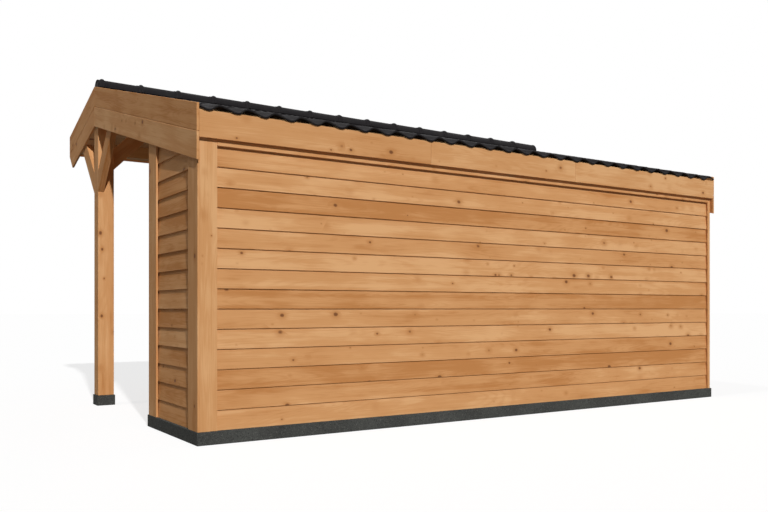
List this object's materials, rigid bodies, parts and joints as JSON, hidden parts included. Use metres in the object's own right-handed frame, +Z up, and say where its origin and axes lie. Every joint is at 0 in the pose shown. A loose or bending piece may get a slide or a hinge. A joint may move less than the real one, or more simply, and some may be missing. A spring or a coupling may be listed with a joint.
{
  "type": "open-fronted barn",
  "caption": "Timber barn with a long boarded rear wall, an open front on braced posts, one open end with a short return wall, and an asymmetric dark tile-effect roof with a canopy.",
  "frame": {"origin": "middle of the whole object's box in plan, on the ground", "axes": "+Z up; +X along the ridge towards the open end; the long rear wall faces +Y and the open front faces -Y"},
  "size_m": [6.153, 4.27, 3.3921],
  "materials": {
    "weatherboarding": "matte",
    "trim_boards": "matte",
    "posts_and_braces": "matte",
    "roof_and_wall_frame": "matte",
    "plinth": "matte",
    "roof_covering": "satin"
  },
  "bodies": {
    "root": {"rear_plinth": "plinth", "return_plinth": "plinth", "closed_end_plinth": "plinth", "post_feet": "plinth", "rear_wall_posts": "roof_and_wall_frame", "rear_wall_studs": "roof_and_wall_frame", "rear_sole_plates": "roof_and_wall_frame", "rear_head_plates": "roof_and_wall_frame", "return_studs": "roof_and_wall_frame", "return_sole_plate": "roof_and_wall_frame", "closed_end_studs": "roof_and_wall_frame", "closed_end_sole_plate": "roof_and_wall_frame", "rear_cladding": "weatherboarding", "return_cladding": "weatherboarding", "closed_end_cladding": "weatherboarding", "rear_corner_trim": "trim_boards", "return_trims": "trim_boards", "closed_end_corner_strip": "trim_boards", "eaves_strip": "trim_boards", "open_end_post": "posts_and_braces", "middle_post": "posts_and_braces", "closed_end_post": "posts_and_braces", "ridge_beam": "roof_and_wall_frame", "beam_braces": "posts_and_braces", "rear_gable_braces": "posts_and_braces", "canopy_gable_braces": "posts_and_braces", "rear_rafters": "roof_and_wall_frame", "canopy_rafters": "roof_and_wall_frame", "rear_purlins": "roof_and_wall_frame", "canopy_purlins": "roof_and_wall_frame", "rear_roof_boards": "roof_and_wall_frame", "canopy_roof_boards": "roof_and_wall_frame", "rear_fascia": "trim_boards", "canopy_fascia": "trim_boards", "open_end_rear_barge": "trim_boards", "open_end_canopy_barge": "trim_boards", "closed_end_rear_barge": "trim_boards", "closed_end_canopy_barge": "trim_boards", "rear_tiles": "roof_covering", "canopy_tiles": "roof_covering", "ridge_caps": "roof_covering"}
  },
  "joints": []
}
